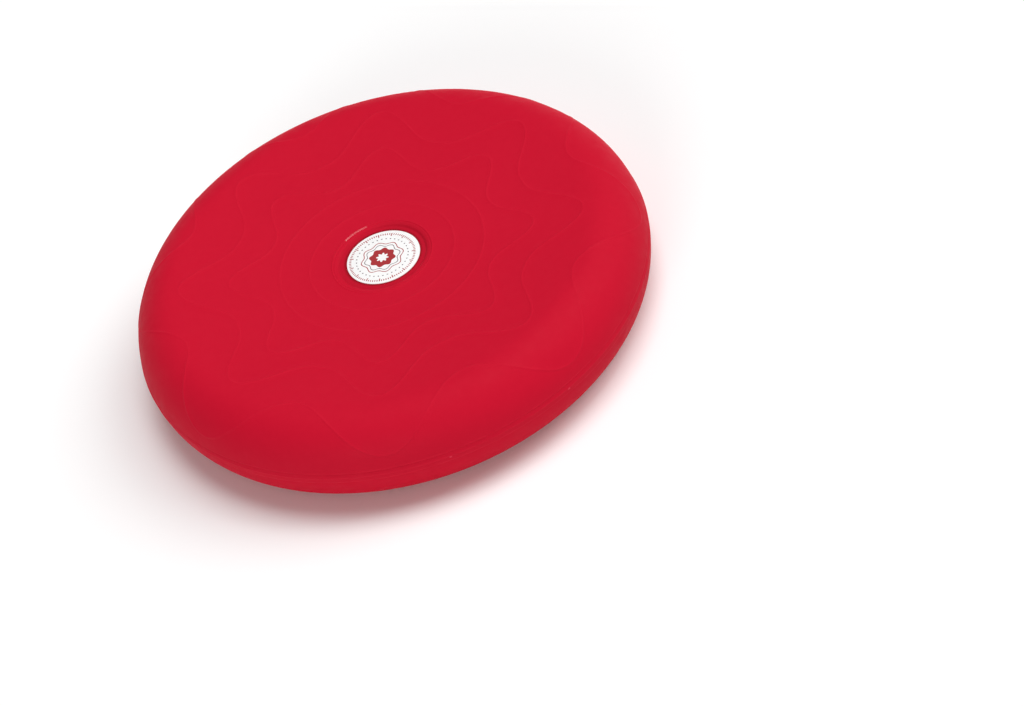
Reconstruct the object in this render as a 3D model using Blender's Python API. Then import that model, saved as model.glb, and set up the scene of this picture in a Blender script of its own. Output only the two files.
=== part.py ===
# Wobble cushion: a round, air-filled seat cushion of soft PVC, built from the pieces that it is
# made of. Units are metres and +Z is up. The cushion lies flat with the middle of its underside
# at the origin, and its needle valve looks along +Y.
#
# Run with: blender --background --python part.py

import math

import bmesh
import bpy
from mathutils import Euler, Vector

# Overall sizes, pumped up and with nobody on it
DIAMETER = 0.330            # across the joint line round the rim
HEIGHT = 0.063              # from the floor to the shoulder of the top face
RIM_ROUNDING = 0.0296       # how far in from the rim the faces end
WALL = 0.0040               # thickness of the PVC skin
GAP = 0.0003                # clearance wherever two pieces touch

# Faces
TOP_DISH = 0.0077           # how far the top face sinks towards the middle
DISH_FULLNESS = 1.09        # above 1 the dish is flatter near the shoulder
RECESS_LIP_RADIUS = 0.0330
RECESS_FLOOR_RADIUS = 0.0285
RECESS_DEPTH = 0.0015       # floor of the middle recess below its lip
RECESS_STEP = 0.5           # share of the depth that the step round the floor takes
LABEL_RADIUS = 0.0235
LABEL_THICKNESS = 0.0004

# Moulded grip lines on the top face: thin ridges, two round and three with waves that grow.
# Their places are shares of the way over the skin from the recess lip to the rim band, and the
# last one's waves run down the rounded rim.
LINE_HEIGHT = 0.00045
LINE_WIDTH = 0.0016
LINES = (                   # mean place, swing of the waves, fullness of their inner bends
    (0.093, 0.0, 0.0),
    (0.223, 0.0, 0.0),
    (0.365, 0.077, 0.020),
    (0.556, 0.105, 0.036),
    (0.807, 0.129, 0.005),
)
WAVE_COUNT = 8
WAVE_START = math.radians(22.6)     # bearing of a wave's bend towards the middle
BUNCHING = 0.2              # how much closer the facets lie where the waves climb

# Welded joint round the rim
BELT_HEIGHT = 0.0064        # height of the band that shows on the outside
BELT_DEPTH = 0.0012         # how deep the band is let into the skin
BELT_PROUD = 0.0003         # how far the band stands out of the skin
BEAD_PROUD = 0.0003         # how far the joint line stands out of the band
BEAD_HEIGHT = 0.0010
WEB_THICKNESS = 0.0012      # weld between the edges of the two skins

# Needle valve in the side wall
VALVE_BEARING = math.radians(90)
VALVE_DROP = 0.013          # below the joint line
SPOT_FACE_DEPTH = 0.0017
SOCKET_FLANGE_RADIUS = 0.0075
SOCKET_FLANGE_THICKNESS = 0.0009
SOCKET_BARREL_RADIUS = 0.0058
SOCKET_LENGTH = 0.0160
CORE_FLANGE_RADIUS = 0.0046
CORE_FLANGE_THICKNESS = 0.0010
CORE_RADIUS = 0.0034
CORE_LENGTH = 0.0145
CHANNEL_RADIUS = 0.0011     # takes a pump needle
CHANNEL_DEPTH = 0.0110
PLUG_HEAD_RADIUS = 0.0042
PLUG_HEAD_THICKNESS = 0.0016
PLUG_STEM_LENGTH = 0.0080
EDGE = 0.0003               # small chamfer on the valve's pieces

# Facets
TOP_STEPS = 120             # round the top skin, a whole number for each wave
RIM_STEPS = 80              # round the other large pieces
VALVE_STEPS = 24
RIM_RINGS = 6               # between the joint line and the shoulder
BEFORE_LAST_LINE = (0.33, 0.56, 0.78)                   # rings between the last two grip lines
AFTER_LAST_LINE = (0.20, 0.38, 0.54, 0.68, 0.80, 0.91)  # and from the last one to the rim band
INNER_MIDWAY = 0.62         # share of the shoulder's radius for a ring of the inner surface

# Worked out from the sizes above
HALF = HEIGHT / 2
RIM_RADIUS = DIAMETER / 2 - BEAD_PROUD - BELT_PROUD     # of the bare skin at the joint line
SHOULDER = RIM_RADIUS - RIM_ROUNDING
BAND_TOP = BELT_HEIGHT / 2
SKIN_EDGE = WEB_THICKNESS / 2 + GAP                     # from the joint plane to a skin's edge
BAND_BACK = RIM_RADIUS - BELT_DEPTH


def clear_scene():
    for thing in list(bpy.data.objects):
        bpy.data.objects.remove(thing)


def finish(name, colour, roughness):
    made = bpy.data.materials.new(name)
    made.use_nodes = True
    surface = made.node_tree.nodes["Principled BSDF"]
    surface.inputs["Base Color"].default_value = (*colour, 1)
    surface.inputs["Roughness"].default_value = roughness
    surface.inputs["Metallic"].default_value = 0
    return made


def piece(name, bm, material, parent=None):
    """Link the finished mesh as an object, shaded smooth with its real edges kept sharp."""
    bmesh.ops.recalc_face_normals(bm, faces=bm.faces)
    mesh = bpy.data.meshes.new(name)
    bm.to_mesh(mesh)
    bm.free()
    mesh.shade_smooth()
    mesh.set_sharp_from_angle(angle=math.radians(28))
    if material:
        mesh.materials.append(material)
    made = bpy.data.objects.new(name, mesh)
    bpy.context.scene.collection.objects.link(made)
    made.parent = parent
    return made


def axis_empty(name, place, turn=(0, 0, 0)):
    made = bpy.data.objects.new(name, None)
    made.empty_display_size = 0.02
    made.location = place
    made.rotation_euler = turn
    bpy.context.scene.collection.objects.link(made)
    return made


def turned(outline, steps):
    """Spin an outline of (radius, height) points a full turn about Z."""
    bm = bmesh.new()
    corners = [bm.verts.new((radius, 0, height)) for radius, height in outline]
    on_axis = outline[0][0] == 0
    if on_axis:
        edges = [bm.edges.new(pair) for pair in zip(corners, corners[1:])]
    else:
        edges = [bm.edges.new(pair) for pair in zip(corners, corners[1:] + corners[:1])]
    bmesh.ops.spin(bm, geom=corners + edges, cent=(0, 0, 0), axis=(0, 0, 1),
                   angle=2 * math.pi, steps=steps, use_merge=True)
    bmesh.ops.remove_doubles(bm, verts=bm.verts, dist=1e-6)
    return bm


def lofted(rings):
    """Join closed rings of points, the first and last of which are single points."""
    bm = bmesh.new()
    made = [[bm.verts.new(point) for point in ring] for ring in rings]
    for inner, outer in zip(made, made[1:]):
        count = max(len(inner), len(outer))
        for step in range(count):
            after = (step + 1) % count
            if len(inner) == 1:
                corners = (inner[0], outer[step], outer[after])
            elif len(outer) == 1:
                corners = (inner[step], outer[0], inner[after])
            else:
                corners = (inner[step], outer[step], outer[after], inner[after])
            bm.faces.new(corners)
    bmesh.ops.triangulate(bm, faces=bm.faces, quad_method="SHORT_EDGE")
    return bm


def ramp(share):
    """Smooth S-curve from 0 to 1."""
    return share * share * (3 - 2 * share)


def rim(turn, inset=0.0):
    """Point of the rounded rim above the joint plane; turn is 0 there and 90 degrees on top."""
    return (SHOULDER + (RIM_ROUNDING - inset) * math.cos(turn),
            (HALF - inset) * math.sin(turn))


def rim_turns(lowest, count):
    """Evenly spaced turns from just under the shoulder down to the lowest point."""
    start = math.asin(lowest)
    return [start + (math.pi / 2 - start) * (count - step) / count
            for step in range(1, count + 1)]


def rim_length():
    """Length of the quarter ellipse from the shoulder to the joint line (Ramanujan)."""
    wide, tall = RIM_ROUNDING, HALF
    return math.pi / 4 * (3 * (wide + tall)
                          - math.sqrt((3 * wide + tall) * (wide + 3 * tall)))


def recess_outline(face):
    """(radius, height) of a recess, from its middle out to a face at the given height."""
    floor = face - RECESS_DEPTH
    step = floor + RECESS_DEPTH * RECESS_STEP
    return [(0, floor), (RECESS_FLOOR_RADIUS, floor),
            (RECESS_FLOOR_RADIUS + RECESS_DEPTH * RECESS_STEP, step),
            (RECESS_LIP_RADIUS, face)]


def inner_outline(dish):
    """(radius, height) of a skin's inner surface, from its edge to the middle."""
    lowest = SKIN_EDGE / (HALF - WALL)
    rounding = [rim(turn, WALL) for turn in reversed(rim_turns(lowest, RIM_RINGS - 3))]
    face = [(SHOULDER * share, dished(SHOULDER * share, dish) - WALL)
            for share in (1, INNER_MIDWAY)]
    floor = dished(RECESS_LIP_RADIUS, dish) - RECESS_DEPTH - WALL
    return rounding + face + [(RECESS_LIP_RADIUS, floor), (0, floor)]


def rebate_outline():
    """(radius, height) of the step in a skin's edge that the rim band fits in."""
    top = BAND_TOP + GAP
    skin = rim(math.asin(top / HALF))[0]
    return [(skin, top), (BAND_BACK - GAP, top), (BAND_BACK - GAP, SKIN_EDGE)]


def dished(radius, dish=TOP_DISH):
    """Height above the joint plane of a face that sinks towards the middle by the dish."""
    share = min(radius / SHOULDER, 1)
    return HALF - dish * (1 - share * share) ** DISH_FULLNESS


def top_point(along, raised, bearing):
    """Point of the top skin, a distance along it from the middle, raised off its surface."""
    if along <= SHOULDER:
        radius, height = along, dished(along)
        lean = 0.0
    else:
        turn = math.pi / 2 * (1 - (along - SHOULDER) / rim_length())
        radius, height = rim(turn)
        lean = math.atan2(math.cos(turn) / RIM_ROUNDING, math.sin(turn) / HALF)
    radius += raised * math.sin(lean)
    height += raised * math.cos(lean)
    return (radius * math.cos(bearing), radius * math.sin(bearing), height)


def wave_phase(bearing):
    """Where in its wave a grip line is at a bearing, 0 at a bend towards the middle."""
    return WAVE_COUNT * (bearing - WAVE_START)


def bunched_bearings():
    """Bearings round the top skin, closer together where the waves climb steeply."""
    even = [2 * math.pi * step / TOP_STEPS for step in range(TOP_STEPS)]
    return [bearing + BUNCHING * math.sin(2 * wave_phase(bearing)) / (2 * WAVE_COUNT)
            for bearing in even]


def top_skin_end():
    """Distance along the top skin from the middle to the rim band."""
    end_turn = math.asin((BAND_TOP + GAP) / HALF)
    return SHOULDER + rim_length() * (1 - end_turn / (math.pi / 2))


def line_at(mean, swing, fullness, bearing):
    """Distance of a grip line from the middle, and half the width of its foot there."""
    way = top_skin_end() - RECESS_LIP_RADIUS
    wave = wave_phase(bearing)
    place = mean - swing * math.cos(wave) - fullness * math.sin(wave) ** 2
    climb = swing * math.sin(wave) - fullness * math.sin(2 * wave)
    along = RECESS_LIP_RADIUS + way * place
    slope = way * climb * WAVE_COUNT / along
    return along, LINE_WIDTH / 2 * math.hypot(1, slope)


def top_skin_rings(bearings):
    """Rings of points from the recess lip, over the grip lines, to the rim band."""
    end = top_skin_end()
    columns = []
    for bearing in bearings:
        column = []
        for line in LINES:
            along, half_foot = line_at(*line, bearing)
            if line == LINES[-1]:
                last = column[-1][0]
                column += [(last + (along - half_foot - last) * share, 0)
                           for share in BEFORE_LAST_LINE]
            column += [(along - half_foot, 0), (along, LINE_HEIGHT), (along + half_foot, 0)]
        last = column[-1][0]
        column += [(last + (end - last) * share, 0) for share in AFTER_LAST_LINE]
        columns.append(column)
    return [[top_point(*column[ring], bearing) for column, bearing in zip(columns, bearings)]
            for ring in range(len(columns[0]))]


def level_rings(outline, bearings):
    """A ring of points for each (radius, height), or a single point on the axis."""
    return [[(radius * math.cos(bearing), radius * math.sin(bearing), height)
             for bearing in (bearings if radius else (0,))]
            for radius, height in outline]


def upper_shell(material, parent):
    """Top skin: recess, dished face with its grip lines, rounded rim and rebated edge."""
    bearings = bunched_bearings()
    recess = recess_outline(dished(RECESS_LIP_RADIUS))
    edge_and_inside = rebate_outline() + inner_outline(TOP_DISH)
    rings = (level_rings(recess, bearings) + top_skin_rings(bearings)
             + level_rings(edge_and_inside, bearings))
    piece("upper_shell", lofted(rings), material, parent)


def lower_shell(material, parent):
    """Bottom skin: the same outline without grip lines, and flat where it rests on the floor."""
    outline = recess_outline(HALF) + [(SHOULDER, HALF)]
    outline += [rim(turn) for turn in rim_turns((BAND_TOP + GAP) / HALF, RIM_RINGS)[:-1]]
    outline += rebate_outline()
    outline += inner_outline(0)
    flipped = [(radius, -height) for radius, height in outline]
    return piece("lower_shell", turned(flipped, RIM_STEPS), material, parent)


def rim_seam(material, parent):
    """Weld round the rim: a web between the two skins and a band let into them outside."""
    band = RIM_RADIUS + BELT_PROUD
    web = WEB_THICKNESS / 2
    bead = BEAD_HEIGHT / 2
    inside = SHOULDER + RIM_ROUNDING - WALL
    outline = [(BAND_BACK, BAND_TOP), (band, BAND_TOP), (band, bead), (band + BEAD_PROUD, 0),
               (band, -bead), (band, -BAND_TOP), (BAND_BACK, -BAND_TOP),
               (BAND_BACK, -web), (inside, -web), (inside, web), (BAND_BACK, web)]
    piece("rim_seam", turned(outline, RIM_STEPS), material, parent)


def label(material, parent):
    """Round sticker on the floor of the recess."""
    under = dished(RECESS_LIP_RADIUS) - RECESS_DEPTH + GAP
    outline = [(0, under + LABEL_THICKNESS), (LABEL_RADIUS, under + LABEL_THICKNESS),
               (LABEL_RADIUS, under), (0, under)]
    piece("label", turned(outline, RIM_STEPS // 2), material, parent)


def valve_place():
    """Point on the outside of the lower skin where the valve sits, and its outward tilt."""
    turn = math.asin(VALVE_DROP / HALF)
    radius, drop = rim(turn)
    place = (radius * math.cos(VALVE_BEARING), radius * math.sin(VALVE_BEARING), HALF - drop)
    below_level = math.atan2(math.sin(turn) / HALF, math.cos(turn) / RIM_ROUNDING)
    tilt = Euler((0, math.pi / 2 + below_level, VALVE_BEARING))
    return Vector(place), tilt


def valve_face():
    """Height of the valve's outer face along its own axis, from the skin's surface."""
    return -SPOT_FACE_DEPTH + GAP + SOCKET_FLANGE_THICKNESS


def valve_hole(skin, parent):
    """Stepped hole in the side wall: a flat seat for the flange and a way through."""
    seat_radius = SOCKET_FLANGE_RADIUS + GAP
    way_radius = SOCKET_BARREL_RADIUS + GAP
    outside = SOCKET_LENGTH
    outline = [(0, outside), (seat_radius, outside), (seat_radius, -SPOT_FACE_DEPTH),
               (way_radius, -SPOT_FACE_DEPTH), (way_radius, -SOCKET_LENGTH),
               (0, -SOCKET_LENGTH)]
    cutter = piece("valve_hole_cutter", turned(outline, VALVE_STEPS), None, parent)
    cutter.hide_render = True
    cutter.display_type = "WIRE"
    cut = skin.modifiers.new("valve hole", "BOOLEAN")
    cut.operation = "DIFFERENCE"
    cut.solver = "EXACT"
    cut.object = cutter


def valve_socket(material, parent):
    """PVC seat bonded into the side wall, which carries the valve's rubber core."""
    face = valve_face()
    end = face - SOCKET_LENGTH
    bore = CORE_RADIUS + GAP
    seat = CORE_FLANGE_RADIUS + GAP
    outline = [(seat, face), (SOCKET_FLANGE_RADIUS - EDGE, face),
               (SOCKET_FLANGE_RADIUS, face - EDGE),
               (SOCKET_FLANGE_RADIUS, face - SOCKET_FLANGE_THICKNESS),
               (SOCKET_BARREL_RADIUS, face - SOCKET_FLANGE_THICKNESS),
               (SOCKET_BARREL_RADIUS, end + EDGE), (SOCKET_BARREL_RADIUS - EDGE, end),
               (bore, end), (bore, face - CORE_FLANGE_THICKNESS - GAP),
               (seat, face - CORE_FLANGE_THICKNESS - GAP)]
    piece("valve_socket", turned(outline, VALVE_STEPS), material, parent)


def valve_core(material, parent):
    """Rubber insert with a blind needle channel, whose far end holds the air in."""
    face = valve_face()
    end = face - CORE_LENGTH
    outline = [(0, face - CHANNEL_DEPTH), (CHANNEL_RADIUS, face - CHANNEL_DEPTH),
               (CHANNEL_RADIUS, face - EDGE), (CHANNEL_RADIUS + EDGE, face),
               (CORE_FLANGE_RADIUS, face), (CORE_FLANGE_RADIUS, face - CORE_FLANGE_THICKNESS),
               (CORE_RADIUS, face - CORE_FLANGE_THICKNESS), (CORE_RADIUS, end + 3 * EDGE),
               (CORE_RADIUS - 3 * EDGE, end), (0, end)]
    piece("valve_core", turned(outline, VALVE_STEPS), material, parent)


def valve_plug(material, parent):
    """Dust plug: a domed head with an undercut edge for a fingernail, on a thin stem."""
    under = valve_face() + GAP
    stem = CHANNEL_RADIUS - GAP
    crown = [(PLUG_HEAD_RADIUS * math.sin(turn),
              under + PLUG_HEAD_THICKNESS / 2 * (1 + math.cos(turn)))
             for turn in (math.radians(30 * step) for step in range(4))]
    outline = crown + [(PLUG_HEAD_RADIUS - 3 * EDGE, under), (stem, under),
                       (stem, under - PLUG_STEM_LENGTH + 2 * EDGE),
                       (stem - EDGE, under - PLUG_STEM_LENGTH), (0, under - PLUG_STEM_LENGTH)]
    piece("valve_plug", turned(outline, VALVE_STEPS), material, parent)


def build():
    clear_scene()
    skin_red = finish("skin_red", (0.60, 0.005, 0.026), 0.6)
    seam_red = finish("seam_red", (0.62, 0.010, 0.032), 0.55)
    label_white = finish("label_white", (0.90, 0.90, 0.89), 0.35)
    socket_red = finish("socket_red", (0.56, 0.005, 0.024), 0.5)
    valve_rubber = finish("valve_rubber", (0.030, 0.030, 0.032), 0.7)
    plug_white = finish("plug_white", (0.80, 0.80, 0.78), 0.4)

    joint_plane = axis_empty("joint_plane", (0, 0, HALF))
    crown_axis = axis_empty("crown_axis", (0, 0, HALF))
    place, tilt = valve_place()
    valve_axis = axis_empty("valve_axis", place, tilt)
    plug_axis = axis_empty("plug_axis", place, tilt)

    upper_shell(skin_red, crown_axis)
    label(label_white, crown_axis)
    skin = lower_shell(skin_red, joint_plane)
    rim_seam(seam_red, joint_plane)
    valve_hole(skin, valve_axis)
    valve_socket(socket_red, valve_axis)
    valve_core(valve_rubber, valve_axis)
    valve_plug(plug_white, plug_axis)


build()
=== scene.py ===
import math

import bmesh
import bpy
from mathutils import Euler, Matrix, Vector


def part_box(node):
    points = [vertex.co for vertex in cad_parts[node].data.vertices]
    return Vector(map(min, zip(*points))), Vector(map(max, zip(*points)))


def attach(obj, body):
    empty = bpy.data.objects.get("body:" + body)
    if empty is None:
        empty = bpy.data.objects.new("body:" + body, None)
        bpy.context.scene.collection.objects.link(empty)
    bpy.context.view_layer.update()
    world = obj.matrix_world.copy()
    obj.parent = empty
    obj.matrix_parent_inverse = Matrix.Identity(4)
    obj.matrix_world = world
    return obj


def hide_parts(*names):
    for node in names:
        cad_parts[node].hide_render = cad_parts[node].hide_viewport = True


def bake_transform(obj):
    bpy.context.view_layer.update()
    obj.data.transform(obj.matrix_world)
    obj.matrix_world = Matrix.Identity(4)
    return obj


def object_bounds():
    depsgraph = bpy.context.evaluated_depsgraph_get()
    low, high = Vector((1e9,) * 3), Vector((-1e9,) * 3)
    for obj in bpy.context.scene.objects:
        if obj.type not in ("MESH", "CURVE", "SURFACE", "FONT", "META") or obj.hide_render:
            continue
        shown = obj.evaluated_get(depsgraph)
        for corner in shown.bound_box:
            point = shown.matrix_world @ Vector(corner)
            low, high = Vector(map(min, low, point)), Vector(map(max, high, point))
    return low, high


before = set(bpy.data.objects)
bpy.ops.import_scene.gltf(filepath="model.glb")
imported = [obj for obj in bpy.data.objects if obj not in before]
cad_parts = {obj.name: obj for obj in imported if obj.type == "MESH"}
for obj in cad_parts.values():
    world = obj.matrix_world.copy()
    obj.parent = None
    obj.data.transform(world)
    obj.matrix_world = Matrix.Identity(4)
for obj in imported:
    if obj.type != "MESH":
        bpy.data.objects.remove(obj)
cadLow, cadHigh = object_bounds()

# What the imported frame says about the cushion. Everything below is in metres, apart from what a
# note gives in other units.
seamLow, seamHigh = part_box("rim_seam")
labelLow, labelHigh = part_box("label")
jointHeight = (seamLow.z + seamHigh.z) / 2      # plane where the two skins meet
halfHeight = jointHeight - cadLow.z             # from that plane to the shoulder

skin = dict(
    wall=0.0040,
    gap=0.00002,             # left to each neighbour
    rounding=0.0296,         # how far in from the rim the faces end
    dish=0.0077,             # how far the top face sinks towards the middle
    crown=0.008,             # half the width over which the face turns into the rim
    lipRadius=0.0330,
    lipWidth=0.0014,         # fine raised edge of the recess
    lipHeight=0.00035,
    rubbedLip=(108, 138),    # bearings between which it is worn shiny, in degrees
    recessDepth=0.0015,
    floorRadius=0.0285,
    wallWidth=0.0019,        # of the rounded wall round the floor
    innerLip=0.00012,        # how far the wall's top swells
    margin=0.0001,           # between the recess's parts and the face round them
    labelMargin=0.0008,      # of the flat floor round the label
    underLabel=0.00005,      # floor below the label's underside
    steps=696,               # facets round
    lowerSteps=480,          # the same for the bottom skin
    lowerSide=0.92,          # share of its rounded side that the even rings cover
)
seam = dict(
    height=0.0064,           # of the band that shows
    depth=0.0012,            # how deep it is let into the skin
    proud=0.0003,            # how far it stands out
    bead=0.0003,             # how far the parting line stands out of the band
    lines=[(-0.0027, 0.0008, 0.00012), (0.0008, 0.0009, 0.00014)],
                             # place, half width and height of the band's moulded lines
    edgeLine=(0.0010, 0.0008, 0.00010),
                             # the same for the line on the skin, its place from the band
    wornAndHighlit=2.4,              # how much paler these lines are than the grip lines: wear and painted highlight
    lift=0.00005,            # keeps the band's surface clear of the skin's
    web=0.0012,              # weld between the edges of the two skins
    nibs=[282.8, 311.6, 346.2],
                             # bearings of the nibs of flash that trimming left, in degrees
    nibHeight=0.00018,
    nibTurn=0.3,             # how many degrees a nib reaches to each side
    nibHalf=0.0005,          # how far it reaches above and below the joint line
)

rimRadius = seamHigh.x - seam["proud"] - seam["bead"]      # bare skin at the joint
shoulder = rimRadius - skin["rounding"]
bandBack = rimRadius - seam["depth"]
skinEdge = seam["web"] / 2 + skin["gap"]

# Moulded grip lines: mean place, swing and fullness of the inner bends, as shares of the way
# over the skin from the recess to the rim band
gripLines = dict(
    places=[(0.093, 0, 0), (0.223, 0, 0), (0.365, 0.077, 0.020), (0.556, 0.105, 0.036),
            (0.807, 0.129, 0.005)],
    height=0.00020,
    width=0.0023,
    waves=8,
    start=math.radians(22.6),    # bearing of a bend towards the middle
    bunching=0.2,                # how much closer the facets lie where the waves climb
)


def quarterLength(wide, tall):
    # Ramanujan's length of a quarter ellipse
    return math.pi / 4 * (3 * (wide + tall) - math.sqrt((3 * wide + tall) * (wide + 3 * tall)))


rimLength = quarterLength(skin["rounding"], halfHeight)
touching = 1e-6                    # points closer than this are made one
sharpFrom = math.radians(35)       # an edge steeper than this stays crisp


def addObject(name, data):
    made = bpy.data.objects.new(name, data)
    bpy.context.scene.collection.objects.link(made)
    return made


def feed(tree, socket, value):
    if isinstance(value, bpy.types.NodeSocket):
        tree.links.new(value, socket)
    else:
        socket.default_value = value


def mathsIn(tree):
    def maths(operation, *values):
        node = tree.nodes.new("ShaderNodeMath")
        node.operation = operation
        for socket, value in zip(node.inputs, values):
            feed(tree, socket, value)
        return node.outputs[0]
    return maths


def addNode(tree, kind, settings=None, **sockets):
    node = tree.nodes.new(kind)
    for key, value in (settings or {}).items():
        setattr(node, key, value)
    for key, value in sockets.items():
        feed(tree, node.inputs[key.replace("_", " ")], value)
    return node


ladderColumns = ("onFace", "reach", "swing", "fullness", "foot", "raised", "level")


def skinInputs(tree):
    tree.interface.new_socket("Geometry", in_out="INPUT", socket_type="NodeSocketGeometry")
    tree.interface.new_socket("Geometry", in_out="OUTPUT", socket_type="NodeSocketGeometry")
    wanted = [("Steps", "Int"), ("Side", "Float"), ("Joint Height", "Float"),
              ("Half Height", "Float"), ("Shoulder", "Float"), ("Rounding", "Float"),
              ("Rim Length", "Float"), ("Dish", "Float"), ("Crown", "Float"),
              ("Line Width", "Float"), ("Line Height", "Float"), ("Waves", "Float"),
              ("Wave Start", "Float"), ("Bunching", "Float"), ("Finish", "Material")]
    for name, kind in wanted:
        tree.interface.new_socket(name, in_out="INPUT", socket_type="NodeSocket" + kind)
    return tree.nodes.new("NodeGroupInput").outputs


def fromLadder(tree, ladder, ring, column):
    field = addNode(tree, "GeometryNodeInputNamedAttribute", {"data_type": "FLOAT"}, Name=column)
    sampled = addNode(tree, "GeometryNodeSampleIndex", {"data_type": "FLOAT", "domain": "POINT"},
                      Geometry=ladder, Index=ring)
    feed(tree, sampled.inputs["Value"], field.outputs["Attribute"])
    return sampled.outputs["Value"]


def either(tree, test, yes, no):
    chosen = addNode(tree, "GeometryNodeSwitch", {"input_type": "FLOAT"})
    feed(tree, chosen.inputs["Switch"], test)
    feed(tree, chosen.inputs["False"], no)
    feed(tree, chosen.inputs["True"], yes)
    return chosen.outputs["Output"]


def bearingAndWave(maths, given, share):
    # Bearing of a point, and how far into its wave it is. Facets bunch up where the waves climb.
    def phase(bearing):
        return maths("MULTIPLY", given["Waves"], maths("SUBTRACT", bearing, given["Wave Start"]))

    even = maths("MULTIPLY", share, 2 * math.pi)
    bunch = maths("DIVIDE", maths("MULTIPLY", given["Bunching"],
                                  maths("SINE", maths("MULTIPLY", phase(even), 2))),
                  maths("MULTIPLY", given["Waves"], 2))
    bearing = maths("ADD", even, bunch)
    return bearing, phase(bearing)


def wayOverSkin(maths, given, point, wave):
    # How far out a point on the face lies: at the middle of its grip line or to one side of it.
    # The line keeps its width where it climbs. The least radius, 1 mm, keeps its slope finite.
    sine, cosine = maths("SINE", wave), maths("COSINE", wave)
    inwards = maths("MULTIPLY_ADD", point["swing"], cosine,
                    maths("MULTIPLY", point["fullness"], maths("MULTIPLY", sine, sine)))
    middle = maths("SUBTRACT", point["reach"], inwards)
    bend = maths("MULTIPLY", 2, maths("MULTIPLY", point["fullness"], cosine))
    climb = maths("MULTIPLY", sine, maths("SUBTRACT", point["swing"], bend))
    slope = maths("DIVIDE", maths("MULTIPLY", given["Waves"], climb),
                  maths("MAXIMUM", middle, 0.001))
    slant = maths("SQRT", maths("MULTIPLY_ADD", slope, slope, 1))
    halfFoot = maths("MULTIPLY", maths("MULTIPLY", point["foot"], slant),
                     maths("DIVIDE", given["Line Width"], 2))
    return maths("ADD", middle, halfFoot)


def bareSkin(tree, maths, given, along):
    # Radius, height and lean of the skin so far out: a dish, then a quarter ellipse over the rim
    share = maths("MINIMUM", maths("DIVIDE", along, given["Shoulder"]), 1)
    bowl = maths("SUBTRACT", 1, maths("MULTIPLY", share, share))
    faceHeight = maths("SUBTRACT", given["Half Height"], maths("MULTIPLY", given["Dish"], bowl))
    over = maths("MAXIMUM", maths("SUBTRACT", along, given["Shoulder"]), 0)
    turn = maths("MULTIPLY", maths("SUBTRACT", 1, maths("DIVIDE", over, given["Rim Length"])),
                 math.pi / 2)
    wide = maths("COSINE", turn)
    tall = maths("SINE", turn)
    isOver = maths("GREATER_THAN", over, 0)
    lean = maths("MULTIPLY", isOver,
                 maths("ARCTAN2", maths("DIVIDE", wide, given["Rounding"]),
                       maths("DIVIDE", tall, given["Half Height"])))
    radius = maths("MULTIPLY_ADD", given["Rounding"], maths("MULTIPLY", isOver, wide),
                   maths("MINIMUM", along, given["Shoulder"]))
    rimHeight = maths("MULTIPLY", given["Half Height"], tall)

    # The dish arrives at the shoulder climbing, so the crown there is rounded off
    fromCrown = maths("ABSOLUTE", maths("SUBTRACT", along, given["Shoulder"]))
    near = maths("MAXIMUM", maths("SUBTRACT", given["Crown"], fromCrown), 0)
    kink = maths("DIVIDE", maths("MULTIPLY", given["Dish"], 2), given["Shoulder"])
    roundedOff = maths("DIVIDE", maths("MULTIPLY", kink, maths("MULTIPLY", near, near)),
                       maths("MULTIPLY", given["Crown"], 4))
    height = maths("SUBTRACT", either(tree, isOver, rimHeight, faceHeight), roundedOff)
    return radius, height, lean


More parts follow.
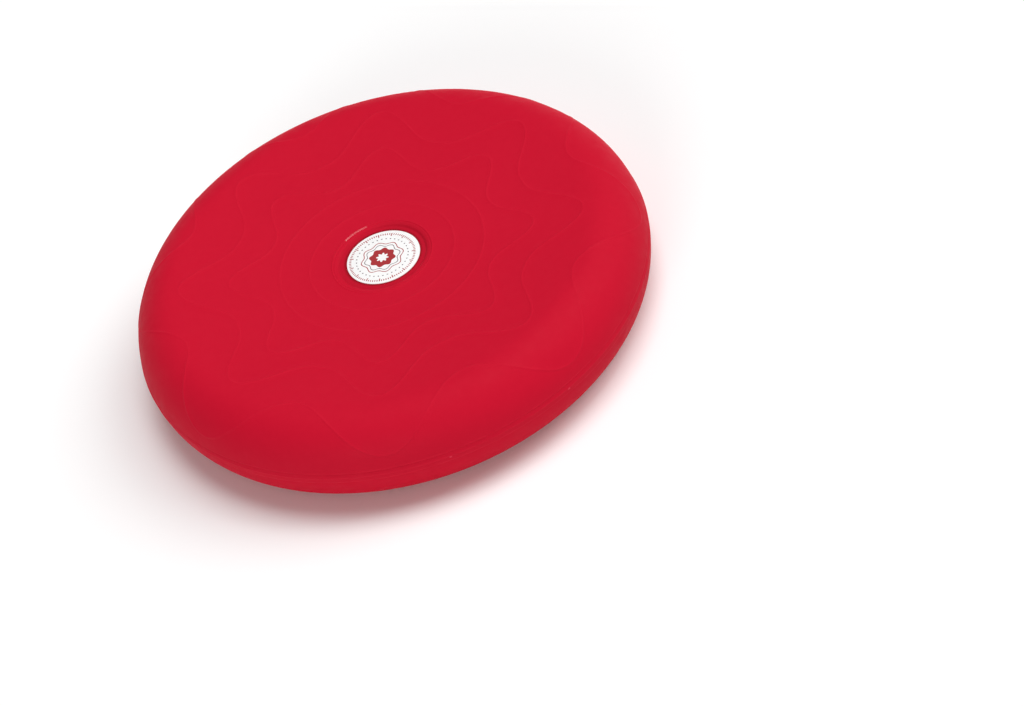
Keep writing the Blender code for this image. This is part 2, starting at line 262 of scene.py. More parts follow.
def turnedSkinTree():
    # Turns a ladder of points about Z. Each point is one ring: a plain one keeps its own radius
    # and height, and one on the face follows the dish, the rim and the waves of the grip lines.
    tree = bpy.data.node_groups.new("turnedSkin", "GeometryNodeTree")
    given = skinInputs(tree)
    maths = mathsIn(tree)
    ladder = given["Geometry"]
    rings = addNode(tree, "GeometryNodeAttributeDomainSize", Geometry=ladder).outputs["Point Count"]
    grid = addNode(tree, "GeometryNodeMeshGrid", Size_X=1.0, Size_Y=1.0, Vertices_X=rings,
                   Vertices_Y=maths("ADD", given["Steps"], 1))
    place = addNode(tree, "ShaderNodeSeparateXYZ",
                    Vector=tree.nodes.new("GeometryNodeInputPosition").outputs[0])
    ring = maths("ROUND", maths("MULTIPLY", maths("ADD", place.outputs["X"], 0.5),
                                maths("SUBTRACT", rings, 1)))
    point = {column: fromLadder(tree, ladder, ring, column) for column in ladderColumns}

    bearing, wave = bearingAndWave(maths, given, maths("ADD", place.outputs["Y"], 0.5))
    faceRadius, faceHeight, lean = bareSkin(tree, maths, given,
                                            wayOverSkin(maths, given, point, wave))
    raised = point["raised"]
    radius = either(tree, point["onFace"],
                    maths("MULTIPLY_ADD", raised, maths("SINE", lean), faceRadius),
                    point["reach"])
    height = either(tree, point["onFace"],
                    maths("MULTIPLY_ADD", raised, maths("COSINE", lean), faceHeight),
                    point["level"])
    made = addNode(tree, "ShaderNodeCombineXYZ",
                   X=maths("MULTIPLY", radius, maths("COSINE", bearing)),
                   Y=maths("MULTIPLY", radius, maths("SINE", bearing)),
                   Z=maths("MULTIPLY_ADD", given["Side"], height, given["Joint Height"]))

    crest = addNode(tree, "GeometryNodeStoreNamedAttribute",
                    {"data_type": "FLOAT", "domain": "POINT"}, Geometry=grid.outputs["Mesh"],
                    Name="crest")
    feed(tree, crest.inputs["Value"], maths("DIVIDE", raised, given["Line Height"]))
    placed = addNode(tree, "GeometryNodeSetPosition", Geometry=crest.outputs["Geometry"],
                     Position=made.outputs["Vector"])
    merged = addNode(tree, "GeometryNodeMergeByDistance", Geometry=placed.outputs["Geometry"],
                     Distance=touching)
    smooth = addNode(tree, "GeometryNodeSetShadeSmooth", Geometry=merged.outputs["Geometry"])
    real = addNode(tree, "GeometryNodeRealizeInstances", Geometry=smooth.outputs["Geometry"])
    finished = addNode(tree, "GeometryNodeSetMaterial", Geometry=real.outputs["Geometry"])
    feed(tree, finished.inputs["Material"], given["Finish"])
    result = tree.nodes.new("NodeGroupOutput")
    feed(tree, result.inputs["Geometry"], finished.outputs["Geometry"])
    return tree


skinTree = turnedSkinTree()


def turned(name, ladder, finish, place=None, **settings):
    # ladder holds a dictionary for each ring. place puts the piece where it belongs.
    mesh = bpy.data.meshes.new(name + "Ladder")
    mesh.from_pydata([(ring["reach"], 0, ring.get("level", 0)) for ring in ladder], [], [])
    for column in ladderColumns:
        values = mesh.attributes.new(column, "FLOAT", "POINT")
        values.data.foreach_set("value", [float(ring.get(column, 0)) for ring in ladder])
    guide = addObject(name + "Ladder", mesh)
    modifier = guide.modifiers.new("turned", "NODES")
    modifier.node_group = skinTree
    wanted = {
        "Steps": skin["steps"], "Side": 1.0, "Joint Height": jointHeight,
        "Half Height": halfHeight, "Shoulder": shoulder, "Rounding": skin["rounding"],
        "Rim Length": rimLength, "Dish": 0.0, "Crown": skin["crown"],
        "Line Width": gripLines["width"], "Line Height": gripLines["height"],
        "Waves": float(gripLines["waves"]), "Wave Start": gripLines["start"],
        "Bunching": 0.0, "Finish": finish,
    }
    wanted.update({key.replace("_", " "): value for key, value in settings.items()})
    sockets = {item.name: item.identifier for item in skinTree.interface.items_tree
               if item.in_out == "INPUT"}
    for key, value in wanted.items():
        modifier[sockets[key]] = value
    graph = bpy.context.evaluated_depsgraph_get()
    made = bpy.data.meshes.new_from_object(guide.evaluated_get(graph))
    made.name = name
    bpy.data.objects.remove(guide)
    bpy.data.meshes.remove(mesh)
    if place:
        made.transform(place)
    made.materials.clear()       # one slot, which the tree's finish fills
    made.materials.append(finish)
    made.polygons.foreach_set("material_index", [0] * len(made.polygons))
    shell = bmesh.new()
    shell.from_mesh(made)
    bmesh.ops.remove_doubles(shell, verts=shell.verts, dist=touching)
    bmesh.ops.recalc_face_normals(shell, faces=shell.faces)
    shell.to_mesh(made)
    shell.free()
    made.shade_smooth()
    made.set_sharp_from_angle(angle=sharpFrom)
    piece = addObject(name, made)
    print(f"{name}: {len(made.vertices)} points, {len(made.loop_triangles)} triangles")
    return piece


def plainRings(outline):
    # Each point is a radius and a height, and may have a share of raised line with them
    return [dict(reach=radius, level=height, raised=gripLines["height"] * sum(line))
            for radius, height, *line in outline]


def ramp(share):
    return share * share * (3 - 2 * share)


def bump(across):
    # Height of a soft moulded line at a place across it, where its edges are at -1 and 1
    return math.cos(math.pi / 2 * across) ** 2


def evenly(steps):
    # Places from one edge to the other
    return [-1 + 2 * step / steps for step in range(steps + 1)]


def dished(radius, dish):
    share = min(radius / shoulder, 1)
    return halfHeight - dish * (1 - share * share)


def rimPoint(turn, inset=0.0):
    return (shoulder + (skin["rounding"] - inset) * math.cos(turn),
            (halfHeight - inset) * math.sin(turn))


def arc(middle, radius, first, last, count):
    turns = [math.radians(first + (last - first) * step / count) for step in range(count + 1)]
    return [(middle[0] + radius * math.cos(turn), middle[1] + radius * math.sin(turn))
            for turn in turns]


def recessWall(floor, top):
    # Rounded wall between the recess's floor and the level of the face round it
    foot, width, steps = skin["floorRadius"] - skin["wallWidth"] / 2, skin["wallWidth"], 10
    return [(foot + width * step / steps, floor + (top - floor) * ramp(step / steps))
            for step in range(steps + 1)]


def plainRecess():
    # Shallow recess of the flat underside: floor, wall and a flat way to the face
    floor = halfHeight - skin["recessDepth"]
    top = halfHeight - skin["margin"]
    return [(0, floor), (skin["floorRadius"] / 2, floor)] + recessWall(floor, top)


def topRecess():
    # Floor that carries the label, wall with a soft inner lip, and the lip's raised edge
    dish = skin["dish"]
    floor = labelLow.z - jointHeight - skin["underLabel"]
    top = dished(skin["floorRadius"], dish) - skin["margin"]
    edge = labelHigh.x + skin["labelMargin"]
    outline = [(0, floor), (edge / 2, floor), (edge, floor)] + recessWall(floor, top)
    start, half = outline[-1][0], skin["lipWidth"] / 2
    middle = skin["lipRadius"] - half - skin["margin"]
    end = middle - half
    drop = 0.00004           # how far the lip's middle lies below the face, its inner foot twice
    steps = 8
    for step in range(1, steps + 1):
        share = step / steps
        radius = start + (end - start) * share
        level = top + (dished(end, dish) - 2 * drop - top) * share
        outline.append((radius, level + skin["innerLip"] * math.sin(math.pi * share) ** 2))
    for across in evenly(12):
        radius = middle + half * across
        outline.append((radius, dished(radius, dish) - drop * (1 - across)
                        + skin["lipHeight"] * bump(across)))
    return outline


def insideOutline(dish, count):
    # From the skin's edge, up inside the rim, in under the face and to the middle
    lowest = math.asin(skinEdge / (halfHeight - skin["wall"]))
    outline = [rimPoint(lowest + (math.pi / 2 - lowest) * step / count, skin["wall"])
               for step in range(count + 1)]
    outline += [(shoulder * share, dished(shoulder * share, dish) - skin["wall"])
                for share in (0.85, 0.7, 0.55, 0.4)]
    floor = dished(skin["lipRadius"], dish) - skin["recessDepth"] - skin["wall"]
    return outline + [(skin["lipRadius"], floor), (skin["lipRadius"] / 2, floor), (0, floor)]


def edgeOutline():
    # The step in the skin's edge that the rim band lies in
    top = seam["height"] / 2 + skin["gap"]
    outside = rimPoint(math.asin(top / halfHeight))[0]
    corner = 0.00001         # keeps two rings from meeting
    return [(outside, top + corner), (outside - corner, top), (bandBack - skin["gap"], top),
            (bandBack - skin["gap"], skinEdge)]


def edgeLine():
    # Rings of the fine line on the rounded rim, next to the band. Its crest is painted paler:
    # wear, and a painted highlight
    place, half, proud = seam["edgeLine"]
    middle = seam["height"] / 2 + skin["gap"] + place
    outline = []
    for across in evenly(10):
        radius, height = rimPoint(math.asin((middle - half * across) / halfHeight))
        outline.append((radius + proud * bump(across), height, seam["wornAndHighlit"] * bump(across)))
    return outline


def faceRings(places, across, between, overRim):
    # Rings over the face: across each grip line, between neighbours, and down the rim
    def reachAt(height):
        return shoulder + rimLength * (1 - math.asin(height / halfHeight) / (math.pi / 2))

    band = seam["height"] / 2 + skin["gap"]
    way = reachAt(band) - skin["lipRadius"]
    end = reachAt(band + sum(seam["edgeLine"][:2]))
    lines = [(skin["lipRadius"] + way * mean, way * swing, way * fullness)
             for mean, swing, fullness in places]
    last = (skin["lipRadius"], 0.0, 0.0, 0.0)
    rings = []

    def fill(first, then, count):
        for step in range(1, count):
            share = step / count
            reach, swing, fullness, foot = (a + (b - a) * share for a, b in zip(first, then))
            rings.append(dict(onFace=1, reach=reach, swing=swing, fullness=fullness, foot=foot))

    for (reach, swing, fullness), count in zip(lines, between):
        fill(last, (reach, swing, fullness, -1.0), count)
        for foot in evenly(across):
            rings.append(dict(onFace=1, reach=reach, swing=swing, fullness=fullness, foot=foot,
                              raised=gripLines["height"] * bump(foot)))
        last = (reach, swing, fullness, 1.0)
    fill(last, (end, 0.0, 0.0, 0.0), overRim)
    return rings


def newFinish(name, specular):
    material = bpy.data.materials.new(name)
    material.use_nodes = True
    tree = material.node_tree
    surface = tree.nodes["Principled BSDF"]
    surface.inputs["Specular IOR Level"].default_value = specular
    place = tree.nodes.new("ShaderNodeTexCoord").outputs["Object"]
    return material, tree, surface, place


def noise(tree, place, scale, detail=2.0):
    return addNode(tree, "ShaderNodeTexNoise", Vector=place, Scale=scale,
                   Detail=detail).outputs["Fac"]


def spread(tree, value, low, high, fromLow=0.3, fromHigh=0.7):
    # From low at fromLow to high at fromHigh, between which a noise mostly stays
    made = addNode(tree, "ShaderNodeMapRange", Value=value)
    for name, number in (("From Min", fromLow), ("From Max", fromHigh), ("To Min", low),
                         ("To Max", high)):
        made.inputs[name].default_value = number
    return made.outputs["Result"]


def blendColour(tree, share, first, second):
    # The node's colour sockets are found by number, as others share their names
    made = addNode(tree, "ShaderNodeMix", {"data_type": "RGBA"})
    feed(tree, made.inputs["Factor"], share)
    for socket, colour in ((made.inputs[6], first), (made.inputs[7], second)):
        feed(tree, socket, colour if isinstance(colour, bpy.types.NodeSocket) else (*colour, 1))
    return made.outputs[2]


def bumped(tree, height, distance, strength=1.0, under=None):
    made = addNode(tree, "ShaderNodeBump", Height=height, Distance=distance, Strength=strength)
    if under:
        feed(tree, made.inputs["Normal"], under)
    return made.outputs["Normal"]


reds = dict(                         # each a colour and the tone that clouds it
    skin=((0.604, 0.0068, 0.0290), (0.580, 0.0060, 0.0270)),
    weld=((0.606, 0.0070, 0.0294), (0.582, 0.0062, 0.0274)),
    nib=((0.740, 0.0450, 0.0850), (0.700, 0.0400, 0.0780)),
    socket=((0.560, 0.0060, 0.0265), (0.530, 0.0055, 0.0240)),
)
pvc = dict(
    wornAndHighlit=(0.650, 0.0120, 0.0370),  # on the crests of moulded lines: wear, and a painted highlight
    hollowShade=(0.515, 0.0058, 0.0245),  # painted shade inside the recess
    paintedShade=(0.320, 0.0040, 0.0130),   # painted shade round the sticker's edge and on the wall's back right
    roughness=(0.54, 0.66),
    specular=0.05,
    cloud=9.0, cloudShare=0.7,       # pattern scales per metre, and how much of each shows
    mottle=230.0, mottleShare=0.5,
    crestPatches=90.0, crestPatchShare=0.28,
    shine=140.0,
    grain=2600.0, grainDepth=0.00003,
    pores=900.0, poreDepth=0.00002, poreWidth=0.6,
)
recessShading = dict(                        # a pair of lengths is where a tone starts and stops changing
    hollowShade=(-0.0006, 0.0010),        # from the floor's edge: the hollow's painted shade ends
    hollowShadeShare=0.8,
    wallFrom=(0.0265, 0.0288),       # from the middle: the wall's painted shade begins
    wallTo=(0.0303, 0.0325),         # and ends
    wallShare=0.3,
    floorShare=0.3,                  # of the wall's painted shade, on the floor inside it
    darkSide=(0.83, 0.56),           # which way along X and Y the wall gets darker
    darkFrom=(0.008, 0.026),         # how far along that way it does
    ring=(0.0009, 0.0021),           # from the label's edge: the painted shade round it ends
    ringMiddle=(0.0004, 0.0006),     # X and Y of the painted ring's middle
    ringShare=0.95,
)


def shadeRecess(tree, place, maths, tone):
    # Painted shade: the hollow is a little darker, its wall darker at the back right, and a dark
    # ring runs round the sticker's edge
    split = addNode(tree, "ShaderNodeSeparateXYZ", Vector=place)
    across, along = split.outputs["X"], split.outputs["Y"]

    def radiusFrom(middleX, middleY):
        right = maths("SUBTRACT", across, middleX)
        back = maths("SUBTRACT", along, middleY)
        return maths("SQRT", maths("ADD", maths("MULTIPLY", right, right),
                                   maths("MULTIPLY", back, back)))

    radius = radiusFrom(0, 0)
    inside = spread(tree, radius, 1, 0, *(skin["floorRadius"] + part for part in recessShading["hollowShade"]))
    tone = blendColour(tree, maths("MULTIPLY", inside, recessShading["hollowShadeShare"]), tone,
                       pvc["hollowShade"])
    wall = maths("MULTIPLY", spread(tree, radius, recessShading["floorShare"], 1, *recessShading["wallFrom"]),
                 spread(tree, radius, 1, 0, *recessShading["wallTo"]))
    right, back = recessShading["darkSide"]
    dark = spread(tree, maths("ADD", maths("MULTIPLY", across, right),
                              maths("MULTIPLY", along, back)), 0, 1, *recessShading["darkFrom"])
    shade = maths("MULTIPLY", maths("MULTIPLY", wall, dark), recessShading["wallShare"])
    tone = blendColour(tree, shade, tone, pvc["paintedShade"])
    ring = spread(tree, radiusFrom(*recessShading["ringMiddle"]), 1, 0,
                  *(labelHigh.x + part for part in recessShading["ring"]))
    return blendColour(tree, maths("MULTIPLY", ring, recessShading["ringShare"]), tone, pvc["paintedShade"])


def softPvc(name, tones, withCrest=False, withRecessShade=False, specular=pvc["specular"],
            roughness=pvc["roughness"], relief=1.0):
    material, tree, surface, place = newFinish(name, specular)
    maths = mathsIn(tree)
    cloud = spread(tree, noise(tree, place, pvc["cloud"]), 0, 1)
    mottle = spread(tree, noise(tree, place, pvc["mottle"], 3), 0, pvc["mottleShare"])
    uneven = maths("ADD", maths("MULTIPLY", cloud, pvc["cloudShare"]), mottle)
    tone = blendColour(tree, maths("MINIMUM", uneven, 1), *tones)
    if withRecessShade:
        tone = shadeRecess(tree, place, maths, tone)
    if withCrest:
        # Crests of moulded lines are paler in patches: wear, and a painted highlight along them
        crest = addNode(tree, "ShaderNodeAttribute", {"attribute_name": "crest"}).outputs["Fac"]
        patchy = spread(tree, noise(tree, place, pvc["crestPatches"]), 0, pvc["crestPatchShare"])
        tone = blendColour(tree, maths("MULTIPLY", crest, patchy), tone, pvc["wornAndHighlit"])
    feed(tree, surface.inputs["Base Color"], tone)
    feed(tree, surface.inputs["Roughness"],
         spread(tree, noise(tree, place, pvc["shine"], 4), *roughness))
    grain = bumped(tree, noise(tree, place, pvc["grain"]), pvc["grainDepth"], relief)
    pores = addNode(tree, "ShaderNodeTexVoronoi", Vector=place, Scale=pvc["pores"])
    pitted = bumped(tree, spread(tree, pores.outputs["Distance"], 0, 1, 0, pvc["poreWidth"]),
                    pvc["poreDepth"], relief, under=grain)
    feed(tree, surface.inputs["Normal"], pitted)
    return material


softRed = softPvc("softRed", reds["skin"], withCrest=True, withRecessShade=True)
undersideRed = softPvc("undersideRed", reds["skin"])
lipRed = softPvc("lipRed", reds["skin"], specular=0.6, roughness=(0.29, 0.33), relief=0.04)
weldRed = softPvc("weldRed", reds["weld"], withCrest=True)
nibRed = softPvc("nibRed", reds["nib"])
socketRed = softPvc("socketRed", reds["socket"])
print("skin finishes made")

topSkin = turned(
    "topSkin",
    plainRings(topRecess())
    + faceRings(gripLines["places"], across=8, between=(3, 4, 5, 6, 9), overRim=14)
    + plainRings(edgeLine() + edgeOutline() + insideOutline(dish=skin["dish"], count=6)),
    softRed, Dish=skin["dish"], Bunching=gripLines["bunching"])


def refinish(piece, finish, inside):
    # Gives a second finish to the faces whose middle is inside
    piece.data.materials.append(finish)
    number = piece.data.materials.find(finish.name)
    for face in piece.data.polygons:
        if inside(face.center):
            face.material_index = number


def onRubbedLip(place):
    # Part of the lip's raised edge is rubbed smooth by thumbs. The skin's inner side lies lower.
    outer = skin["lipRadius"] - skin["margin"]
    first, last = skin["rubbedLip"]
    lowest = jointHeight + dished(outer, skin["dish"]) - skin["wall"] / 2
    return (outer - skin["lipWidth"] < place.xy.length < outer
            and first < math.degrees(math.atan2(place.y, place.x)) < last
            and place.z > lowest)


refinish(topSkin, lipRed, onRubbedLip)


def undersideRings(onFlat, onSide):
    # Out over the flat underside, then up the rounded side
    flat, side = shoulder - skin["lipRadius"], rimLength * skin["lowerSide"]
    return ([dict(onFace=1, reach=skin["lipRadius"] + flat * step / onFlat)
             for step in range(onFlat)]
            + [dict(onFace=1, reach=shoulder + side * step / onSide)
               for step in range(onSide + 1)])


bottomSkin = turned(
    "bottomSkin",
    plainRings(plainRecess()) + undersideRings(onFlat=12, onSide=30)
    + plainRings(edgeOutline() + insideOutline(dish=0, count=6)),
    undersideRed, Side=-1.0, Steps=skin["lowerSteps"])


def seamOutline():
    # The band follows the rounded rim, swells a little, and has two soft lines.
    # Their crests are painted paler: wear, and a painted highlight
    top, web = seam["height"] / 2, seam["web"] / 2
    inside = shoulder + skin["rounding"] - skin["wall"]
    outside = []
    for along in evenly(64):
        height = -top * along
        radius = rimPoint(math.asin(height / halfHeight))[0] + seam["lift"]
        radius += (seam["proud"] + seam["lift"]) * (1 - (height / top) ** 2)
        line = 0
        for middle, half, proud in seam["lines"]:
            across = (height - middle) / half
            if abs(across) < 1:
                radius += proud * bump(across)
                line = seam["wornAndHighlit"] * bump(across)
        outside.append((radius, height, line))
    return ([(bandBack, top)] + outside
            + [(bandBack, -top), (bandBack, -web), (inside, -web), (inside, web),
               (bandBack, web), (bandBack, top)])


rimSeam = turned("rimSeam", plainRings(seamOutline()), weldRed)


def onNib(place):
    bearing = math.degrees(math.atan2(place.y, place.x)) % 360
    return (min(abs(bearing - nib) for nib in seam["nibs"]) < seam["nibTurn"]
            and abs(place.z - jointHeight) < seam["nibHalf"]
            and place.xy.length > rimRadius)


def raiseNibs(piece):
    # Trimming the joint left small pale nibs of flash
    for point in piece.data.vertices:
        if onNib(point.co):
            point.co.xy *= 1 + seam["nibHeight"] / point.co.xy.length
    piece.data.update()


refinish(rimSeam, nibRed, onNib)
raiseNibs(rimSeam)

sticker = dict(
    film=(0.98, 0.98, 0.98),
    ink=(0.36, 0.005, 0.010),
    greyInk=(0.10, 0.06, 0.07),
    aged=(0.95, 0.945, 0.94),
    specular=0.4,
    roughness=(0.28, 0.40),
    age=60, shine=400,       # pattern scales per metre
    ripple=70, rippleDepth=0.00012,
    shift=(0.0007, 0.0002),  # a hand-laid sticker is a little off the middle
    round=0.00012,           # of its edge
    steps=240,
    # Rings of the print, in millimetres from the middle, with their counts and shares of ink
    ticks=(20.0, 21.4), tickCount=90, tickShare=0.42,
    longTicks=(18.9, 21.4), longCount=15, longShare=0.08,
    dots=(16.3, 17.0), dotCount=36, dotShare=0.3,
    lobes=8, outerSwing=-0.9, innerSwing=0.7,
    redWave=(12.5, 13.1), greyWave=(10.4, 10.9), heart=(3.4, 8.0),
)


def stickerPrint(tree, place):
    # A dial's ring of ticks round a plain eight-lobed rosette. Returns the red and grey ink.
    maths = mathsIn(tree)
    split = addNode(tree, "ShaderNodeSeparateXYZ", Vector=place)
    x, y = split.outputs["X"], split.outputs["Y"]
    radius = maths("MULTIPLY", 1000, maths("SQRT", maths("ADD", maths("MULTIPLY", x, x),
                                                         maths("MULTIPLY", y, y))))
    bearing = maths("ARCTAN2", y, x)

    def within(value, low, high):
        return maths("MULTIPLY", maths("GREATER_THAN", value, low),
                     maths("LESS_THAN", value, high))

    def spokes(count, share):
        turns = maths("FRACT", maths("MULTIPLY_ADD", bearing, count / (2 * math.pi), count))
        return maths("LESS_THAN", turns, share)

    lobes = maths("SINE", maths("MULTIPLY", bearing, sticker["lobes"]))
    outer = maths("MULTIPLY_ADD", lobes, sticker["outerSwing"], radius)
    inner = maths("MULTIPLY_ADD", lobes, sticker["innerSwing"], radius)
    ticks = maths("MULTIPLY", spokes(sticker["tickCount"], sticker["tickShare"]),
                  within(radius, *sticker["ticks"]))
    longTicks = maths("MULTIPLY", spokes(sticker["longCount"], sticker["longShare"]),
                      within(radius, *sticker["longTicks"]))
    red = maths("MAXIMUM", maths("MAXIMUM", ticks, longTicks),
                maths("MAXIMUM", within(outer, *sticker["redWave"]),
                      within(inner, *sticker["heart"])))
    dots = maths("MULTIPLY", spokes(sticker["dotCount"], sticker["dotShare"]),
                 within(radius, *sticker["dots"]))
    grey = maths("MAXIMUM", dots, within(outer, *sticker["greyWave"]))
    return red, grey


def stickerFilm():
    material, tree, surface, place = newFinish("stickerFilm", sticker["specular"])
    red, grey = stickerPrint(tree, place)
    aged = blendColour(tree, spread(tree, noise(tree, place, sticker["age"], 3), 0, 1),
                       sticker["film"], sticker["aged"])
    printed = blendColour(tree, grey, blendColour(tree, red, aged, sticker["ink"]),
                          sticker["greyInk"])
    feed(tree, surface.inputs["Base Color"], printed)
    feed(tree, surface.inputs["Roughness"],
         spread(tree, noise(tree, place, sticker["shine"]), *sticker["roughness"]))
    feed(tree, surface.inputs["Normal"],
         bumped(tree, noise(tree, place, sticker["ripple"]), sticker["rippleDepth"]))
    return material


def stickerOutline():
    low, top = labelLow.z - jointHeight, labelHigh.z - jointHeight
    radius, soft = labelHigh.x, sticker["round"]
    return ([(0, top), (radius * 0.5, top)] + arc((radius - soft, top - soft), soft, 90, 0, 3)
            + [(radius, low), (0, low)])


label = turned("roundSticker", plainRings(stickerOutline()), stickerFilm(),
               place=Matrix.Translation((*sticker["shift"], 0)), Steps=sticker["steps"])

# Needle valve: sizes as the frame's, with its place on the rounded side wall
valve = dict(
    drop=0.013,              # below the joint line
    bearing=math.radians(90),
    spotFace=0.0017,         # depth of the seat for the flange
    clear=0.0003,            # between its parts
    flangeRadius=0.0075, flange=0.0009,
    barrelRadius=0.0058, length=0.0160,
    coreFlangeRadius=0.0046, coreFlange=0.0010,
    coreRadius=0.0034, coreLength=0.0145,
    channelRadius=0.0011, channelDepth=0.0110,
    headRadius=0.0042, head=0.0016, stemLength=0.0080,
    edge=0.0003,             # how far edges are eased
    cutterTop=0.006,         # how far the hole's cutter stands out of the wall
    steps=96,
)


def valvePlace():
    turn = math.asin(valve["drop"] / halfHeight)
    radius, drop = rimPoint(turn)
    below = math.atan2(math.sin(turn) / halfHeight, math.cos(turn) / skin["rounding"])
    point = Vector((radius * math.cos(valve["bearing"]), radius * math.sin(valve["bearing"]),
                    jointHeight - drop))
    lean = Euler((0, math.pi / 2 + below, valve["bearing"]))
    return Matrix.Translation(point) @ lean.to_matrix().to_4x4()


def rounded(outline, radius):
    # Ease the corners of an outline of (radius, height) points, apart from those on the axis
    eased = []
    for index, (x, z) in enumerate(outline):
        if x == 0:
            eased.append((x, z))
            continue
        here = Vector((x, z))
        before = Vector(outline[index - 1]) - here
        after = Vector(outline[(index + 1) % len(outline)]) - here
        longest = 0.45 * min(before.length, after.length)    # leaves some straight between
        reach = min(radius, longest)
        first, last = here + before.normalized() * reach, here + after.normalized() * reach
        for share in (0, 0.25, 0.5, 0.75, 1):
            point = (first * (1 - share) ** 2 + here * 2 * share * (1 - share)
                     + last * share ** 2)
            eased.append((point.x, point.y))
    return eased


def valvePiece(name, outline, finish, closed):
    eased = rounded(outline, valve["edge"])
    if closed:
        eased.append(eased[0])
    return turned(name, plainRings(eased), finish, place=valvePlace(), Joint_Height=0.0,
                  Steps=valve["steps"])


valveFace = valve["clear"] + valve["flange"] - valve["spotFace"]
socketEnd = valveFace - valve["length"]
coreBore = valve["coreRadius"] + valve["clear"]
coreSeat = valve["coreFlangeRadius"] + valve["clear"]
seatDepth = valveFace - valve["coreFlange"] - valve["clear"]
valveSeat = valvePiece(
    "valveSeat",
    [(coreSeat, valveFace), (valve["flangeRadius"], valveFace),
     (valve["flangeRadius"], valveFace - valve["flange"]),
     (valve["barrelRadius"], valveFace - valve["flange"]), (valve["barrelRadius"], socketEnd),
     (coreBore, socketEnd), (coreBore, seatDepth), (coreSeat, seatDepth)],
    socketRed, closed=True)


def dustyFinish(name, specular, clean, dusty, dustShare, dust, roughness, shine, grain, depth):
    # dust, shine and grain are pattern scales per metre
    material, tree, surface, place = newFinish(name, specular)
    share = spread(tree, noise(tree, place, dust, 4), 0, dustShare)
    feed(tree, surface.inputs["Base Color"], blendColour(tree, share, clean, dusty))
    feed(tree, surface.inputs["Roughness"],
         spread(tree, noise(tree, place, shine, 3), *roughness))
    feed(tree, surface.inputs["Normal"], bumped(tree, noise(tree, place, grain), depth))
    return material


blackRubber = dustyFinish("blackRubber", specular=0.3, clean=(0.026, 0.026, 0.028),
                          dusty=(0.050, 0.048, 0.047), dustShare=0.6, dust=700,
                          roughness=(0.6, 0.8), shine=900, grain=5000, depth=0.00003)
plugWhite = dustyFinish("plugWhite", specular=0.4, clean=(0.80, 0.80, 0.78),
                        dusty=(0.75, 0.74, 0.71), dustShare=1, dust=400,
                        roughness=(0.34, 0.5), shine=600, grain=2500, depth=0.00002)

coreEnd = valveFace - valve["coreLength"]
needleInsert = valvePiece(
    "needleInsert",
    [(0, valveFace - valve["channelDepth"]),
     (valve["channelRadius"], valveFace - valve["channelDepth"]),
     (valve["channelRadius"], valveFace - 2 * valve["edge"]),
     (valve["channelRadius"] + 2 * valve["edge"], valveFace),
     (valve["coreFlangeRadius"], valveFace),
     (valve["coreFlangeRadius"], valveFace - valve["coreFlange"]),
     (valve["coreRadius"], valveFace - valve["coreFlange"]), (valve["coreRadius"], coreEnd),
     (0, coreEnd)],
    blackRubber, closed=False)

under = valveFace + valve["clear"]
stemRadius = valve["channelRadius"] - valve["clear"]
dustPlug = turned(
    "dustPlug",
    plainRings([(0, under + valve["head"])]
               + [(valve["headRadius"] * math.sin(math.radians(turn)),
                   under + valve["head"] / 2 * (1 + math.cos(math.radians(turn))))
                  for turn in range(9, 91, 9)]
               + [(valve["headRadius"] - 3 * valve["edge"], under), (stemRadius, under),
                  (stemRadius, under - valve["stemLength"] + valve["edge"]),
                  (stemRadius - valve["edge"], under - valve["stemLength"]),
                  (0, under - valve["stemLength"])]),
    plugWhite, place=valvePlace(), Joint_Height=0.0, Steps=valve["steps"])


def cutValveHole(piece):
    # Stepped hole in the side wall: a seat for the flange and a way through
    seat = valve["flangeRadius"] + valve["clear"]
    way = valve["barrelRadius"] + valve["clear"]
    depth, outside = valve["length"], valve["cutterTop"]
    outline = [(0, outside), (seat, outside), (seat, -valve["spotFace"]),
               (way, -valve["spotFace"]), (way, -depth), (0, -depth)]
    cutter = turned("valveCutter", plainRings(outline), undersideRed, place=valvePlace(),
                    Joint_Height=0.0, Steps=valve["steps"])
    hole = piece.modifiers.new("valve hole", "BOOLEAN")
    hole.operation = "DIFFERENCE"
    hole.solver = "EXACT"
    hole.object = cutter
    graph = bpy.context.evaluated_depsgraph_get()
    holed = bpy.data.meshes.new_from_object(piece.evaluated_get(graph))
    piece.modifiers.clear()
    piece.data = holed
    piece.data.set_sharp_from_angle(angle=sharpFrom)
    bpy.data.objects.remove(cutter)
    print(f"{piece.name}: valve hole cut, {len(holed.vertices)} points")


cutValveHole(bottomSkin)

for piece, node, body, slot in ((topSkin, "upper_shell", None, "skin"),
                                (bottomSkin, "lower_shell", "base", "skin"),
                                (rimSeam, "rim_seam", "base", "seam"),
                                (label, "label", "crown", "label"),
                                (valveSeat, "valve_socket", "base", "valve_socket"),
                                (needleInsert, "valve_core", "base", "valve_rubber"),
                                (dustPlug, "valve_plug", "plug", "plug")):
    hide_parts(node)
    if body:
        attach(piece, body)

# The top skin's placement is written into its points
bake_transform(topSkin)
print("pieces stand for the frame's nodes")

# Roll in degrees and lens in millimetres
view = dict(stand=(0.4538, -1.7906, 1.6281), aim=(0.0752, -0.0830, 0.0315), roll=-19.83,
            lens=137.64)

cameraData = bpy.data.cameras.new("camera")
cameraData.lens = view["lens"]
camera = addObject("camera", cameraData)
back = (Vector(view["stand"]) - Vector(view["aim"])).normalized()
look = back.to_track_quat("Z", "Y").to_matrix().to_4x4()
camera.matrix_world = (Matrix.Translation(view["stand"]) @ look
                       @ Matrix.Rotation(math.radians(view["roll"]), 4, "Z"))
bpy.context.scene.camera = camera

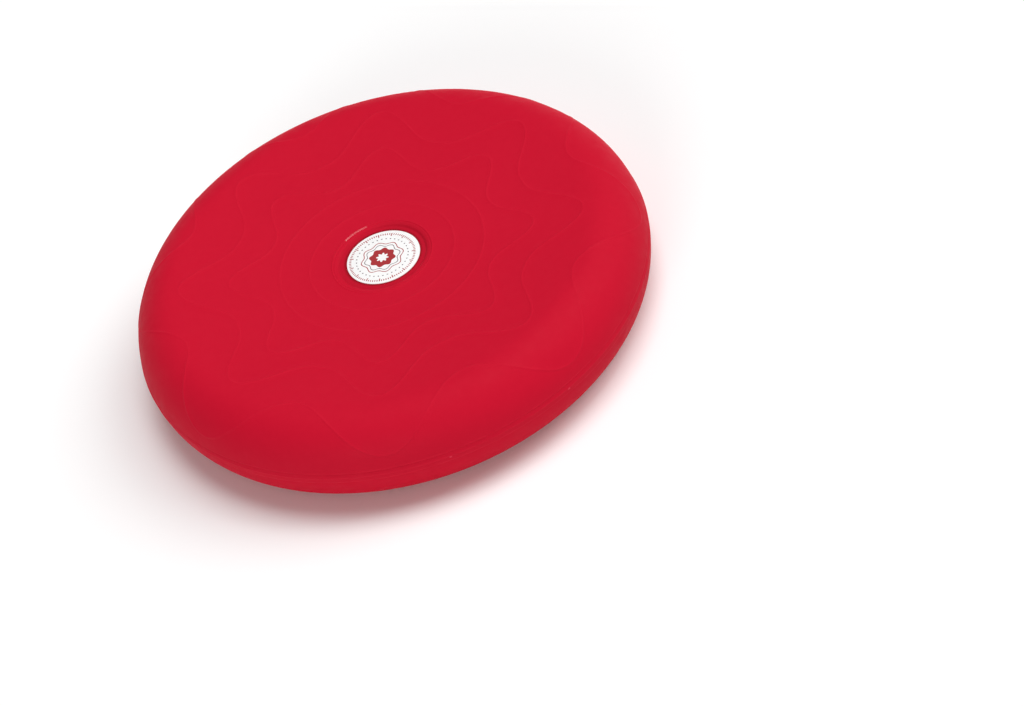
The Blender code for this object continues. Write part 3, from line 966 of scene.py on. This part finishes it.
studio = dict(
    floor=0.90,              # how pale the floor is
    seenFloor=1.04,          # the same for the camera alone, so that it comes out white
    floorHalf=6,             # half of its width
    floorDrop=0.0001,        # below the cushion
    sky=0.18,
    suns=[                   # name, height, bearing, strength and softness, angles in degrees
        ("overhead", 78, 40, 0.455, 36),
        ("backRight", 44, 22, 0.39, 36),
        ("lowFront", 18, 256, 0.34, 25),
    ],
)


def whereSeen(tree, seenValue, litValue):
    # One value where the camera looks, also in a mirror or through glass, and one for light
    rays = tree.nodes.new("ShaderNodeLightPath").outputs
    maths = mathsIn(tree)
    seen = maths("MAXIMUM", rays["Is Camera Ray"],
                 maths("MAXIMUM", rays["Is Glossy Ray"], rays["Is Transmission Ray"]))
    return maths("MULTIPLY_ADD", seen, seenValue - litValue, litValue)


def floorFinish():
    material = bpy.data.materials.new("paleFloor")
    material.use_nodes = True
    tree = material.node_tree
    tree.nodes.remove(tree.nodes["Principled BSDF"])
    level = whereSeen(tree, studio["seenFloor"], studio["floor"])
    paint = addNode(tree, "ShaderNodeBsdfDiffuse")
    tint = addNode(tree, "ShaderNodeCombineColor", Red=level, Green=level, Blue=level)
    feed(tree, paint.inputs["Color"], tint.outputs["Color"])
    tree.links.new(paint.outputs[0], tree.nodes["Material Output"].inputs["Surface"])
    return material


floorData = bpy.data.meshes.new("floor")
far = studio["floorHalf"]
floorData.from_pydata([(-far, -far, 0), (far, -far, 0), (far, far, 0), (-far, far, 0)], [],
                      [(0, 1, 2, 3)])
floorData.materials.append(floorFinish())
floor = addObject("floor", floorData)
floor.location.z = -studio["floorDrop"]

world = bpy.data.worlds.new("studio")
bpy.context.scene.world = world
world.use_nodes = True
background = world.node_tree.nodes["Background"]
background.inputs["Color"].default_value = (1, 1, 1, 1)
feed(world.node_tree, background.inputs["Strength"],
     whereSeen(world.node_tree, 1, studio["sky"]))

for name, height, bearing, strength, softness in studio["suns"]:
    height, bearing = math.radians(height), math.radians(bearing)
    lamp = bpy.data.lights.new(name, "SUN")
    lamp.energy = math.pi * strength         # so that white facing it shows as its strength
    lamp.angle = math.radians(softness)
    holder = addObject(name, lamp)
    towards = Vector((math.cos(height) * math.cos(bearing), math.cos(height) * math.sin(bearing),
                      math.sin(height)))
    holder.rotation_euler = towards.to_track_quat("Z", "Y").to_euler()
bpy.context.scene.view_settings.view_transform = "Standard"
print(f"studio lit by {len(studio['suns'])} soft lights")
